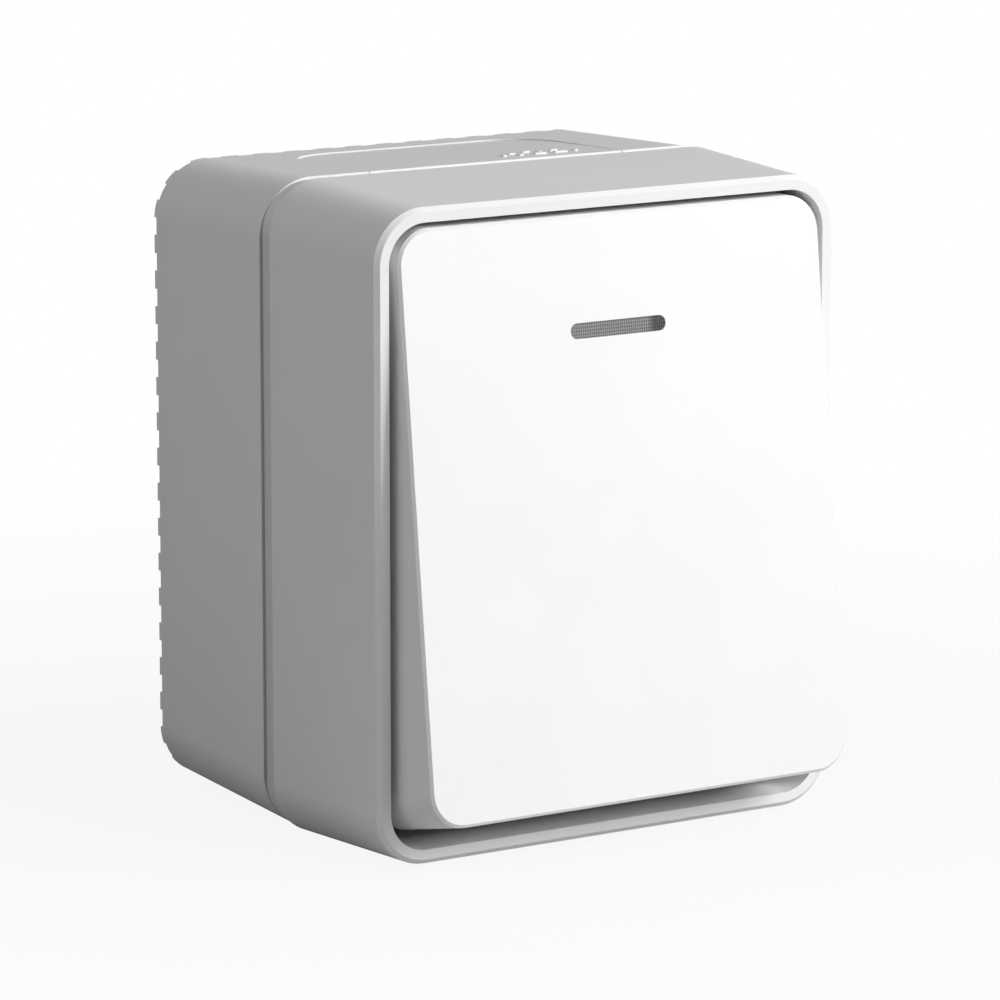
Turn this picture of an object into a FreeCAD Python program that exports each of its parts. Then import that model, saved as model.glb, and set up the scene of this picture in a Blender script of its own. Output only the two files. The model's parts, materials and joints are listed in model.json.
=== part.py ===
import FreeCAD, Part
import math
import os

os.makedirs("parts", exist_ok=True)

# A surface-mounted splash-proof rocker switch, in millimetres.
# The wall is the plane y = 0, the front faces -Y and +Z is up.
# The origin is midway between the two wall screws, on the wall.

# Outside of the base box
body_width = 75.0
body_height = 89.6
body_corner = 7.4
base_corner = 8.0
base_depth = 29.8
base_draft_side = 0.6
base_draft_top = 1.0
shell_wall = 2.2
rear_wall = 2.4

# Teeth of the rear rim, which let water run off the wall
tooth_depth = 0.6
tooth_pitch = 5.0
tooth_gap = 2.5
tooth_rim = 1.8

# Cover frame
cover_depth = 28.3
cover_step = 0.4
band_depth = 2.6
cover_bulge = 0.1
cover_draft_side = 1.12
cover_draft_top = 0.92
bevel_width = 0.65
bevel_depth = 0.62
rim_face = 1.33
opening_corner = 5.5
well_depth = 16.2
well_draft = 0.4
floor_thickness = 2.0
tongue_depth = 2.5
tongue_wall = 1.4
tongue_gap = 0.3
gasket_width = 1.2
gasket_thickness = 1.0
gasket_squeeze = 0.02

# Rocker
rocker_gap_side = 1.1
rocker_gap_end = 2.6
rocker_corner = 4.9
rocker_chamfer = 0.38
rocker_tilt = 6.6
rocker_reach = 18.1
rocker_skirt = 15.0
rocker_wall = 1.8
rocker_proud = 4.6

# Lens in the rocker
lens_width = 15.0
lens_height = 2.0
lens_from_edge = 15.33
lens_chamfer = 0.2
lens_corner = 0.4
lens_fit = 0.04
lens_sink = 0.12
lens_flange = 1.3
lens_flange_thickness = 1.2
chimney_wall = 1.2
chimney_length = 4.0

# Wall fixing
fixing_inset = 8.8
fixing_radius = 2.25
fixing_boss = 5.0
fixing_rise = 0.8

# Cable entry slides
slide_side = 17.2
slide_fall = 0.24
slide_rear = 5.1
slide_corner = 7.8
slide_gap = 0.15
slide_lip = 1.6
slide_lip_wall = 1.2
slide_lip_fit = 0.05
slide_lip_stop = 0.4
knockout_radius = 10.25
knockout_groove = 0.5
knockout_skin = 1.0

# Cover screws
cover_screw_side = 11.0
cover_screw_end = 11.8
cover_screw_radius = 1.5
cover_screw_head = 2.8
cover_screw_head_height = 1.8
cover_screw_grip = 9.0
cover_seal_width = 0.9
cover_seal_thickness = 0.6
screw_fit = 0.04
screw_pilot = 1.0
boss_wall = 1.9
boss_gap = 0.2
rib_thickness = 1.6
drive_slot = 0.8

# Mounting plate
plate_side = 5.5
plate_thickness = 1.5
plate_setback = 0.4
plate_corner = 4.0
plate_relief = 0.4
plate_screw_inset = 3.5
plate_screw_radius = 1.5
plate_screw_head = 2.8
plate_screw_head_height = 1.7
plate_screw_grip = 9.0
collar_inset = 8.0
collar_end = 15.8
collar_corner = 5.0
collar_wall = 1.6
seal_thickness = 1.0

# Pivot of the rocker
pivot_radius = 2.0
pivot_fit = 0.05
ear_room = 3.2
ear_thickness = 2.4
ear_radius = 3.6
ear_side_gap = 0.3
pin_short = 0.2

# Cradle that carries the rocker
cradle_height = 36.0
cradle_thickness = 2.0
cradle_front = 5.0
cradle_corner = 2.0
web_depth = 1.2
cheek_thickness = 1.9
hook_thickness = 1.6
hook_width = 10.0
hook_gap = 0.15
hook_catch = 0.9
hook_nose = 1.1
stand_inset = 2.2
stand_height = 31.0
stand_wall = 1.5

# Plunger
plunger_radius = 2.1
plunger_fit = 0.06
plunger_tube_wall = 1.0
plunger_tube = 16.0
plunger_length = 14.5
plunger_tip_gap = 0.45
plunger_travel = 0.8
spring_radius = 1.55
spring_wire = 0.28
spring_turns = 4
spring_seat = 0.1
slot_clearance = 1.0

# Contact lever
lever_pivot_depth = 5.4
lever_tilt = 7.0
lever_end = 1.6
lever_corner = 1.2
lever_post_half = 0.6
lever_width = 6.0
lever_thickness = 0.8
lever_pin_radius = 0.6
lever_pin_fit = 0.05
lever_cheek = 0.8
lever_cheek_half = 1.6
contact_radius = 1.5
contact_height = 1.1
contact_inset = 1.1
contact_gap = 0.18

# Mechanism housing
housing_wide_share = 8 / 15
housing_high_share = 15 / 32
housing_depth = 16.0
housing_wall = 1.8
housing_corner = 2.0
chamber_corner = 0.8
seat_inner = 2.0
seat_drop = 1.0
clip_width = 10.0
clip_thickness = 1.6
clip_length = 8.0
clip_catch = 0.9
clip_fit = 0.3

# Terminals
strip_thickness = 0.8
strip_below = 3.0
strip_above = 1.2
strip_fit = 0.02
terminal_side = 6.0
terminal_half = 3.6
common_strip_rise = 2.4
contact_strip_rise = 4.0
cage_height = 6.0
wire_hole = 1.5
wire_offset = 1.2
button_offset = 4.8
button_half = 1.5
button_fit = 0.15
button_flange = 0.7
button_flange_thickness = 1.0
button_flange_gap = 0.3
button_proud = 1.0
button_travel = 1.2
button_length = 7.5
clamp_wall = 0.4
clamp_radius = 2.5
clamp_half = 2.0
clamp_rise = 6.0

# Indicator lamp
lamp_radius = 1.9
lamp_half = 6.4
lamp_rise = 5.4
lamp_fit = 0.05
holder_post = 2.4
holder_base = 2.0
holder_wall = 0.8
lead_radius = 0.4
lead_x = 7.0
lead_depth = 1.5
lead_hole = 0.2
tab_thickness = 0.8

# Places that follow from the sizes
rear_y = -tooth_depth
parting_y = rear_y - base_depth
rim_y = parting_y - cover_depth
floor_y = rim_y + well_depth
floor_back_y = floor_y + floor_thickness
inner_rear_y = rear_y - rear_wall
fixing_spacing = body_height - 2 * fixing_inset
slide_width = body_width - 2 * slide_side
cover_screw_x = body_width / 2 - cover_screw_side
cover_screw_z = body_height / 2 - cover_screw_end
plate_width = body_width - 2 * plate_side
plate_screw_x = plate_width / 2 - plate_screw_inset
collar_width = plate_width - 2 * collar_inset
collar_height = body_height - 2 * collar_end
ear_inside = collar_width / 2 - collar_wall - ear_room
stand_width = 2 * (ear_inside - stand_inset)
plate_back_y = parting_y + plate_setback
plate_front_y = plate_back_y - plate_thickness
pivot_y = rim_y - rocker_proud + rocker_reach * math.cos(math.radians(rocker_tilt))
housing_width = body_width * housing_wide_share
housing_height = body_height * housing_high_share
housing_rear_y = plate_back_y + housing_depth
chamber_rear_y = housing_rear_y - housing_wall
terminal_x = housing_width / 2 - terminal_side
terminal_z = housing_height / 4
contact_arm = terminal_z - contact_inset
lever_half = contact_arm + lever_end
lever_y = plate_back_y + lever_pivot_depth
opening_width = body_width - 2 * (cover_draft_side + bevel_width + rim_face)
opening_height = body_height + 2 * (cover_bulge - cover_draft_top - bevel_width - rim_face)
rocker_width = opening_width - 2 * rocker_gap_side
rocker_height = opening_height - 2 * rocker_gap_end
rocker_flare = rocker_skirt * math.tan(math.radians(rocker_tilt))
lens_up = rocker_height / 2 - lens_from_edge
lamp_y = plate_front_y - lamp_rise
seal_back_y = floor_back_y + seal_thickness


def vector(x, y, z):
    return FreeCAD.Vector(x, y, z)


def outline(width, height, radius, y, x=0.0, z=0.0):
    """A rounded rectangle across the y axis."""
    half_w = width / 2
    half_h = height / 2
    r = min(radius, half_w, half_h)
    mid = r * math.sqrt(0.5)
    edges = []
    corners = ((1, 1), (-1, 1), (-1, -1), (1, -1))
    for index, (sx, sz) in enumerate(corners):
        cx = x + sx * (half_w - r)
        cz = z + sz * (half_h - r)
        beside = vector(cx + sx * r, y, cz)
        above = vector(cx, y, cz + sz * r)
        bend = vector(cx + sx * mid, y, cz + sz * mid)
        start, end = (beside, above) if sx * sz > 0 else (above, beside)
        edges.append(Part.Arc(start, bend, end).toShape())
        nx, nz = corners[(index + 1) % 4]
        next_x = x + nx * (half_w - r)
        next_z = z + nz * (half_h - r)
        if nx * nz > 0:
            follow = vector(next_x + nx * r, y, next_z)
        else:
            follow = vector(next_x, y, next_z + nz * r)
        if (follow - end).Length > 1e-6:
            edges.append(Part.makeLine(end, follow))
    return Part.Wire(edges)


def slab(width, height, radius, y_from, y_to, x=0.0, z=0.0):
    """A rounded rectangle carried from one depth to another."""
    face = Part.Face(outline(width, height, radius, y_from, x, z))
    return face.extrude(vector(0, y_to - y_from, 0))


def tapered(*sections):
    """A solid through outlines given as width, height, radius and depth."""
    return Part.makeLoft([outline(*section) for section in sections], True, True)


def block(x_pair, y_pair, z_pair):
    low = vector(min(x_pair), min(y_pair), min(z_pair))
    size = [abs(pair[1] - pair[0]) for pair in (x_pair, y_pair, z_pair)]
    return Part.makeBox(size[0], size[1], size[2], low)


def rod_y(x, z, radius, y_from, y_to):
    low = min(y_from, y_to)
    return Part.makeCylinder(radius, abs(y_to - y_from), vector(x, low, z), vector(0, 1, 0))


def rod_x(x_from, x_to, y, z, radius):
    low = min(x_from, x_to)
    return Part.makeCylinder(radius, abs(x_to - x_from), vector(low, y, z), vector(1, 0, 0))


def rod_z(x, y, radius, z_from, z_to):
    low = min(z_from, z_to)
    return Part.makeCylinder(radius, abs(z_to - z_from), vector(x, y, low), vector(0, 0, 1))


def fuse_all(shapes):
    result = shapes[0].multiFuse(shapes[1:]) if len(shapes) > 1 else shapes[0]
    return result.removeSplitter()


def mitred_wire(points, radius):
    """A round wire along points, mitred at the corners."""
    section = Part.Wire(Part.makeCircle(radius, points[0], points[1] - points[0]))
    right_corners = 1
    return Part.makePolygon(points).makePipeShell([section], True, False, right_corners)


def mirror_z(shape):
    return shape.mirror(vector(0, 0, 0), vector(0, 0, 1))


def save(name, shape):
    shape.exportStep("parts/" + name + ".step")


def base_section(inset, y):
    """The base box's outline at a depth, drawn in by a wall."""
    share = (y - parting_y) / base_depth
    width = body_width - 2 * (inset + base_draft_side * share)
    height = body_height - 2 * (inset + base_draft_top * share)
    return (width, height, base_corner - inset, y)


def base_solid(inset, y_from, y_to):
    return tapered(base_section(inset, y_from), base_section(inset, y_to))


def slide_plan(width, rear, corner, front):
    """The U-shaped tongue of a cable entry, seen from above, as a tall block."""
    z_from = body_height / 4
    z_to = body_height
    half = width / 2
    r = min(corner, half)
    mid = r * math.sqrt(0.5)
    left = Part.makeLine(vector(-half, front, z_from), vector(-half, rear - r, z_from))
    bend_left = Part.Arc(
        vector(-half, rear - r, z_from),
        vector(-half + r - mid, rear - r + mid, z_from),
        vector(-half + r, rear, z_from),
    ).toShape()
    across = Part.makeLine(vector(-half + r, rear, z_from), vector(half - r, rear, z_from))
    bend_right = Part.Arc(
        vector(half - r, rear, z_from),
        vector(half - r + mid, rear - r + mid, z_from),
        vector(half, rear - r, z_from),
    ).toShape()
    right = Part.makeLine(vector(half, rear - r, z_from), vector(half, front, z_from))
    close = Part.makeLine(vector(half, front, z_from), vector(-half, front, z_from))
    wire = Part.Wire([left, bend_left, across, bend_right, right, close])
    return Part.Face(wire).extrude(vector(0, 0, z_to - z_from))


def slide_notch():
    """What the wall leaves open for the upper cable entry."""
    rear = rear_y - slide_rear + slide_gap
    width = slide_width + 2 * slide_gap
    return slide_plan(width, rear, slide_corner, parting_y - 1)


def tooth_gaps():
    """Cutters for the gaps of the toothed rim, walked along each quarter."""
    width, height, radius, _ = base_section(0, rear_y)
    run_x = width / 2 - radius
    run_z = height / 2 - radius
    bend = radius * math.pi / 2
    quarter = run_x + bend + run_z
    count = round(quarter / tooth_pitch - 0.5)
    pitch = quarter / (count + 0.5)
    gap = tooth_gap * pitch / tooth_pitch
    cutters = []
    for index in range(count + 1):
        along = (index + 0.5) * pitch
        if along < run_x:
            x, z, turn = along, height / 2, 90.0
        elif along < run_x + bend:
            turn = 90.0 - math.degrees((along - run_x) / radius)
            x = run_x + radius * math.cos(math.radians(turn))
            z = run_z + radius * math.sin(math.radians(turn))
        else:
            x, z, turn = width / 2, run_z - (along - run_x - bend), 0.0
        for sx in (1, -1):
            for sz in (1, -1):
                if z < gap / 4 and sz < 0:
                    continue
                out = vector(sx * math.cos(math.radians(turn)), 0, sz * math.sin(math.radians(turn)))
                cutter = block((-2 * tooth_rim, tooth_rim), (rear_y, 1), (-gap / 2, gap / 2))
                cutter.Placement = FreeCAD.Placement(
                    vector(sx * x, 0, sz * z), FreeCAD.Rotation(vector(1, 0, 0), out)
                )
                cutters.append(cutter)
    return cutters


def cover_post_places():
    return ((-cover_screw_x, cover_screw_z), (cover_screw_x, -cover_screw_z))


def base_box():
    rim = slab(*base_section(0, rear_y)[:3], rear_y, 0)
    rim = rim.cut(slab(*base_section(tooth_rim, rear_y)[:3], rear_y, 0))
    rim = rim.cut(Part.makeCompound(tooth_gaps()))
    shell = base_solid(0, rear_y, parting_y)
    cavity = base_solid(shell_wall, inner_rear_y, parting_y - 1)
    shell = shell.cut(cavity)
    rebate = base_solid(shell_wall - gasket_width, parting_y + gasket_thickness, parting_y - 1)
    shell = shell.cut(rebate)
    boss = cover_screw_radius + boss_wall
    post_end = parting_y + tongue_depth - boss_gap - plate_setback
    rib_front = post_end + tongue_depth
    added = [shell, rim]
    for x, z in cover_post_places():
        side = math.copysign(body_width / 2 - shell_wall / 2, x)
        added.append(rod_y(x, z, boss, inner_rear_y + 0.1, post_end))
        half = rib_thickness / 2
        added.append(block((x, side), (inner_rear_y + 0.1, rib_front), (z - half, z + half)))
    plate_boss = plate_screw_radius + boss_wall
    for sx in (1, -1):
        x = sx * plate_screw_x
        side = sx * (body_width / 2 - shell_wall / 2)
        added.append(rod_y(x, 0, plate_boss, inner_rear_y + 0.1, plate_back_y))
        half = rib_thickness / 2
        added.append(block((x, side), (inner_rear_y + 0.1, rib_front), (-half, half)))
    for sz in (1, -1):
        z = sz * fixing_spacing / 2
        added.append(rod_y(0, z, fixing_boss, 0, inner_rear_y - fixing_rise))
    body = fuse_all(added)
    cutters = [slide_notch(), mirror_z(slide_notch())]
    for sz in (1, -1):
        cutters.append(rod_y(0, sz * fixing_spacing / 2, fixing_radius, 1, inner_rear_y - 2))
    for x, z in cover_post_places():
        deep = post_end + cover_screw_grip + screw_pilot
        cutters.append(rod_y(x, z, cover_screw_radius + screw_fit, post_end - 1, deep))
    for sx in (1, -1):
        deep = plate_back_y + plate_screw_grip + screw_pilot
        cutters.append(rod_y(sx * plate_screw_x, 0, plate_screw_radius + screw_fit, plate_back_y - 1, deep))
    outer = rod_y(0, 0, knockout_radius + knockout_groove, rear_y, inner_rear_y + knockout_skin)
    cutters.append(outer.cut(rod_y(0, 0, knockout_radius, rear_y, inner_rear_y + knockout_skin)))
    return body.cut(Part.makeCompound(cutters)), post_end


def cable_entry():
    """The upper slide: a piece of the wall with a lip that runs inside it."""
    rear = rear_y - slide_rear
    plan = slide_plan(slide_width, rear, slide_corner, parting_y)
    wall = tapered(base_section(slide_fall, rear_y), base_section(0, parting_y))
    wall = wall.cut(base_solid(shell_wall, rear_y + 1, parting_y - 1))
    rebate = base_solid(shell_wall - gasket_width, parting_y + gasket_thickness, parting_y - 1)
    panel = wall.common(plan).cut(rebate)
    lip_front = parting_y + tongue_depth + slide_lip_stop
    wide = slide_width + 2 * slide_lip
    wide_plan = slide_plan(wide, rear + slide_lip, slide_corner + slide_lip, lip_front)
    lip_in = shell_wall + slide_lip_fit
    lip = base_solid(lip_in, rear_y, parting_y).cut(
        base_solid(lip_in + slide_lip_wall, rear_y + 1, parting_y - 1)
    )
    lip = lip.common(wide_plan)
    joined_plan = slide_plan(slide_width, rear, slide_corner, lip_front)
    link = base_solid(shell_wall - slide_lip_fit, rear_y, parting_y).cut(
        base_solid(lip_in + slide_lip_fit, rear_y + 1, parting_y - 1)
    )
    body = fuse_all([panel, lip, link.common(joined_plan)])
    middle = (rear + lip_front) / 2
    height = base_section(knockout_skin, middle)[1] / 2
    low = height - shell_wall - slide_lip_wall - 1
    ring = rod_z(0, middle, knockout_radius + knockout_groove, low, height)
    return body.cut(ring.cut(rod_z(0, middle, knockout_radius, low, height)))


def cover_gasket():
    inset = shell_wall - gasket_width + gasket_squeeze
    front = parting_y + gasket_squeeze
    back = parting_y + gasket_thickness - gasket_squeeze
    ring = base_solid(inset, back, front)
    return ring.cut(base_solid(shell_wall, back + 1, front - 1))


def cover_frame(post_end):
    bulge = 2 * cover_bulge
    broad = (body_width, body_height + bulge, body_corner + 0.1, parting_y - band_depth)
    edge = (
        body_width - 2 * cover_draft_side,
        body_height + bulge - 2 * cover_draft_top,
        body_corner,
        rim_y + bevel_depth,
    )
    face = (edge[0] - 2 * bevel_width, edge[1] - 2 * bevel_width, body_corner - bevel_width, rim_y)
    heel = (
        body_width - 2 * cover_step,
        body_height - 2 * cover_step,
        body_corner - cover_step,
        parting_y,
    )
    shell = tapered(heel, broad, edge, face)
    mouth = (opening_width, opening_height, opening_corner)
    foot = (opening_width - 2 * well_draft, opening_height - 2 * well_draft, opening_corner)
    shell = shell.cut(tapered((*mouth, rim_y - 0.01), (*foot, floor_y)))
    inner_back = (
        body_width - 2 * shell_wall,
        body_height - 2 * shell_wall,
        body_corner - shell_wall,
    )
    shell = shell.cut(slab(*inner_back, floor_back_y, parting_y + 1))
    tongue_out = shell_wall + tongue_gap
    tongue = base_solid(tongue_out, parting_y + tongue_depth, parting_y)
    root = base_section(shell_wall - tongue_gap, parting_y)[:3]
    tongue = tongue.fuse(slab(*root, parting_y, parting_y - band_depth))
    tongue_in = base_section(tongue_out + tongue_wall, parting_y)[:3]
    tongue = tongue.cut(slab(*tongue_in, parting_y + tongue_depth + 1, parting_y - band_depth - 1))
    boss = cover_screw_radius + boss_wall
    bosses = [
        rod_y(x, z, boss, post_end - boss_gap, floor_back_y - floor_thickness / 2)
        for x, z in cover_post_places()
    ]
    body = fuse_all([shell, tongue] + bosses)
    inside_w = collar_width - 2 * collar_wall
    inside_h = collar_height - 2 * collar_wall
    window = slab(inside_w, inside_h, collar_corner - collar_wall, floor_y - 1, floor_back_y + 1)
    cutters = [window]
    hole = cover_screw_radius + screw_fit * 2
    for x, z in cover_post_places():
        cutters.append(rod_y(x, z, hole, floor_y - 1, parting_y + base_depth / 2))
    return body.cut(Part.makeCompound(cutters))


def screw(x, z, head_y, radius, head, head_height, tip_y):
    """A pan-head screw that points at the wall, with a cross slot."""
    crown = head_height * 0.4
    crown_y = head_y - head_height + crown
    body = rod_y(x, z, head, head_y, crown_y)
    top = Part.makeCone(head, head - crown, crown, vector(x, crown_y, z), vector(0, -1, 0))
    shank = rod_y(x, z, radius, head_y, tip_y - radius)
    point = Part.makeCone(radius, radius * 0.2, radius, vector(x, tip_y - radius, z), vector(0, 1, 0))
    body = body.fuse([top, shank, point])
    reach = head * 0.62
    half = drive_slot / 2
    deep = head_y - head_height * 0.35
    above = head_y - head_height - 1
    body = body.cut(block((x - reach, x + reach), (above, deep), (z - half, z + half)))
    return body.cut(block((x - half, x + half), (above, deep), (z - reach, z + reach)))


def cover_screws(post_end):
    screws = []
    seals = []
    head_y = floor_y - cover_seal_thickness
    for x, z in cover_post_places():
        tip = post_end + cover_screw_grip
        screws.append(
            screw(x, z, head_y, cover_screw_radius, cover_screw_head, cover_screw_head_height, tip)
        )
        ring = rod_y(x, z, cover_screw_radius + cover_seal_width, head_y, floor_y)
        seals.append(ring.cut(rod_y(x, z, cover_screw_radius + screw_fit, head_y - 1, floor_y + 1)))
    return Part.makeCompound(screws), Part.makeCompound(seals)


def plate_screws():
    screws = []
    for sx in (1, -1):
        screws.append(
            screw(
                sx * plate_screw_x,
                0,
                plate_front_y,
                plate_screw_radius,
                plate_screw_head,
                plate_screw_head_height,
                plate_back_y + plate_screw_grip,
            )
        )
    return Part.makeCompound(screws)


def seat_rocker(shape):
    """Turns a piece drawn about the pivot to its place, top pressed in."""
    shape.rotate(vector(0, 0, 0), vector(1, 0, 0), -rocker_tilt)
    shape.translate(vector(0, pivot_y, 0))
    return shape


def rocker():
    front = -rocker_reach
    back = front + rocker_skirt
    heel = (rocker_width, rocker_height + 2 * rocker_flare, rocker_corner)
    edge_flare = rocker_flare * rocker_chamfer / rocker_skirt
    full = (rocker_width, rocker_height + 2 * edge_flare, rocker_corner)
    small = (
        rocker_width - 2 * rocker_chamfer,
        rocker_height - 2 * rocker_chamfer,
        rocker_corner - rocker_chamfer,
    )
    shell = tapered((*heel, back), (*full, front + rocker_chamfer), (*small, front))
    lining = front + rocker_wall
    inner = (
        rocker_width - 2 * rocker_wall,
        rocker_height - 2 * rocker_wall,
        rocker_corner - rocker_wall,
    )
    inner_heel = (inner[0], inner[1] + 2 * rocker_flare, inner[2])
    shell = shell.cut(tapered((*inner_heel, back + rocker_wall), (*inner, lining)))
    stand = slab(stand_width, stand_height, stand_wall, lining - 0.1, -cradle_front)
    stand = stand.cut(
        slab(stand_width - 2 * stand_wall, stand_height - 2 * stand_wall, 0.5, lining - 1, 0)
    )
    added = [shell, stand]
    inside = cradle_height / 2 + hook_gap
    nose_front = -cradle_front + cradle_thickness + hook_gap
    half = hook_width / 2
    for sz in (1, -1):
        leg_z = (sz * inside, sz * (inside + hook_thickness))
        added.append(block((-half, half), (lining - 0.1, nose_front + hook_nose), leg_z))
        nose_z = (sz * (inside - hook_gap - hook_catch), sz * (inside + hook_thickness))
        added.append(block((-half, half), (nose_front, nose_front + hook_nose), nose_z))
    flange_w = lens_width + 2 * lens_flange
    flange_h = lens_height + 2 * lens_flange
    room = 2 * lens_fit
    chimney = slab(
        flange_w + room + 2 * chimney_wall,
        flange_h + room + 2 * chimney_wall,
        chimney_wall,
        lining - 0.1,
        lining + chimney_length,
        0,
        lens_up,
    )
    added.append(chimney)
    body = fuse_all(added)
    pocket = slab(flange_w + room, flange_h + room, 0.5, lining, lining + chimney_length + 1, 0, lens_up)
    slot_h = lens_height + room
    slot = slab(lens_width + room, slot_h, slot_h / 2, front - 1, lining + 0.1, 0, lens_up)
    return body.cut(pocket).cut(slot)


def lens():
    front = -rocker_reach + lens_sink
    lining = -rocker_reach + rocker_wall
    straight = front + lens_chamfer
    window = tapered(
        (lens_width - 2 * lens_chamfer, lens_height - 2 * lens_chamfer, lens_height, front, 0, lens_up),
        (lens_width, lens_height, lens_height, straight, 0, lens_up),
    )
    window = window.fuse(slab(lens_width, lens_height, lens_height, straight, lining + 0.1, 0, lens_up))
    flange = slab(
        lens_width + 2 * lens_flange,
        lens_height + 2 * lens_flange,
        lens_corner,
        lining + lens_fit,
        lining + lens_flange_thickness,
        0,
        lens_up,
    )
    return fuse_all([window, flange])


def cradle():
    half_x = ear_inside - ear_side_gap
    back = -cradle_front + cradle_thickness
    half_z = cradle_height / 2
    plate = slab(2 * half_x, cradle_height, cradle_corner, -cradle_front, back)
    tube = plunger_radius + plunger_fit + plunger_tube_wall
    added = [plate]
    for sx in (1, -1):
        inner = sx * (half_x - cheek_thickness)
        added.append(block((inner, sx * half_x), (back - 0.1, 0), (-ear_radius, ear_radius)))
        added.append(rod_x(inner, sx * half_x, 0, 0, ear_radius))
        added.append(rod_x(inner, sx * (ear_inside + ear_thickness - pin_short), 0, 0, pivot_radius))
        web = rib_thickness / 2
        for sz in (1, -1):
            middle = sz * cradle_height / 4
            web_z = (middle - web, middle + web)
            added.append(block((sx * tube, inner), (back - 0.1, back + web_depth), web_z))
    added.append(rod_y(0, 0, tube, back - 0.1, back + plunger_tube))
    body = fuse_all(added)
    bore = rod_y(0, 0, plunger_radius + plunger_fit, back, back + plunger_tube + 1)
    return body.cut(bore)


def plunger_tip():
    """Distance from the rocker's pivot to the tip of the plunger."""
    lever_front = lever_y - lever_pin_radius - lever_pin_fit - lever_thickness
    return lever_front - plunger_tip_gap - pivot_y


def plunger():
    tip = plunger_tip()
    centre = tip - plunger_radius
    ball = Part.makeSphere(plunger_radius, vector(0, centre, 0))
    return fuse_all([rod_y(0, 0, plunger_radius, tip - plunger_length, centre), ball])


def plunger_spring():
    """A coil between the blind end of the cradle's tube and the plunger."""
    start = -cradle_front + cradle_thickness + spring_wire + spring_seat
    end = plunger_tip() - plunger_length - plunger_travel - spring_wire - spring_seat
    pitch = (end - start) / spring_turns
    helix = Part.makeHelix(pitch, pitch * spring_turns, spring_radius)
    corners = []
    for index in range(5):
        turn = math.radians(90 * index)
        corners.append(
            vector(spring_radius + spring_wire * math.cos(turn), 0, spring_wire * math.sin(turn))
        )
    profile = Part.makePolygon(corners)
    coil = Part.Wire(helix.Edges).makePipeShell([profile], True, True)
    coil.rotate(vector(0, 0, 0), vector(1, 0, 0), -90)
    coil.translate(vector(0, start, 0))
    return coil


def mounting_plate():
    plate = slab(plate_width, collar_height, plate_corner, plate_back_y, plate_front_y)
    collar = slab(collar_width, collar_height, collar_corner, plate_front_y, seal_back_y)
    inside = slab(
        collar_width - 2 * collar_wall,
        collar_height - 2 * collar_wall,
        collar_corner - collar_wall,
        plate_front_y,
        seal_back_y - 1,
    )
    added = [plate, collar.cut(inside)]
    for sx in (1, -1):
        ear = (sx * ear_inside, sx * (ear_inside + ear_thickness))
        added.append(block(ear, (plate_front_y + 0.1, pivot_y), (-ear_radius, ear_radius)))
        added.append(rod_x(ear[0], ear[1], pivot_y, 0, ear_radius))
    half = clip_width / 2
    near = housing_height / 2 + clip_fit
    for sz in (1, -1):
        leg_z = (sz * near, sz * (near + clip_thickness))
        tip = plate_back_y + clip_length
        added.append(block((-half, half), (plate_back_y - 0.1, tip), leg_z))
        nose_z = (sz * (near - clip_catch), sz * (near + clip_thickness))
        added.append(block((-half, half), (tip - clip_thickness, tip), nose_z))
    body = fuse_all(added)
    slot_x = plunger_radius + slot_clearance
    swing = abs(plate_back_y - pivot_y) * math.sin(math.radians(rocker_tilt))
    slot_z = plunger_radius + swing + slot_clearance
    cutters = [block((-slot_x, slot_x), (plate_front_y - 1, plate_back_y + 1), (-slot_z, slot_z))]
    for sx in (1, -1):
        cutters.append(
            rod_x(
                sx * (ear_inside - 1),
                sx * (ear_inside + ear_thickness + 1),
                pivot_y,
                0,
                pivot_radius + pivot_fit,
            )
        )
        hole = plate_screw_radius + screw_fit * 2
        cutters.append(rod_y(sx * plate_screw_x, 0, hole, plate_front_y - 1, plate_back_y + 1))
        cutters.append(
            rod_y(sx * lead_x, lens_up, lead_radius + lead_hole, plate_front_y - 1, plate_back_y + 1)
        )
    relief = cover_screw_radius + boss_wall + plate_relief
    for x, z in cover_post_places():
        cutters.append(rod_y(x, z, relief, plate_front_y - 1, plate_back_y + 1))
    return body.cut(Part.makeCompound(cutters))


def mechanism_seal():
    ring = slab(collar_width, collar_height, collar_corner, seal_back_y, floor_back_y)
    inside = slab(
        collar_width - 2 * collar_wall,
        collar_height - 2 * collar_wall,
        collar_corner - collar_wall,
        seal_back_y + 1,
        floor_back_y - 1,
    )
    return ring.cut(inside)


def terminal_places():
    """Name, side, height and the way its button lies, for each terminal."""
    return (
        ("common", -terminal_x, 0.0, 1),
        ("upper", terminal_x, terminal_z, 1),
        ("lower", terminal_x, -terminal_z, -1),
    )


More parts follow.
